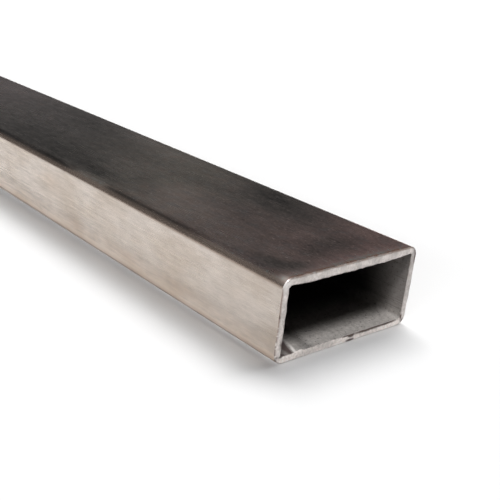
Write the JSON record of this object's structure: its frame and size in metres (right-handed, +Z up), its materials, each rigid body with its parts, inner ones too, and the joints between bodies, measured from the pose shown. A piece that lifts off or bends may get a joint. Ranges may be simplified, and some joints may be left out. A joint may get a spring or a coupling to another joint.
{
  "type": "rectangular stainless steel tube",
  "caption": "Straight rectangular hollow section of stainless steel, with rounded corners, a weld bead along the inside and open, square-sawn ends.",
  "frame": {"origin": "middle of the underside, at half the length and half the width", "axes": "+X along the tube towards the cut end that the picture shows, +Y across the wide faces towards the far narrow face, +Z up through the wide faces"},
  "size_m": [1, 0.05, 0.025],
  "materials": {
    "stainless": "mill finish with a fine grain along the tube, sawn bare at the ends"
  },
  "bodies": {
    "root": {"tube": "stainless"}
  },
  "joints": []
}
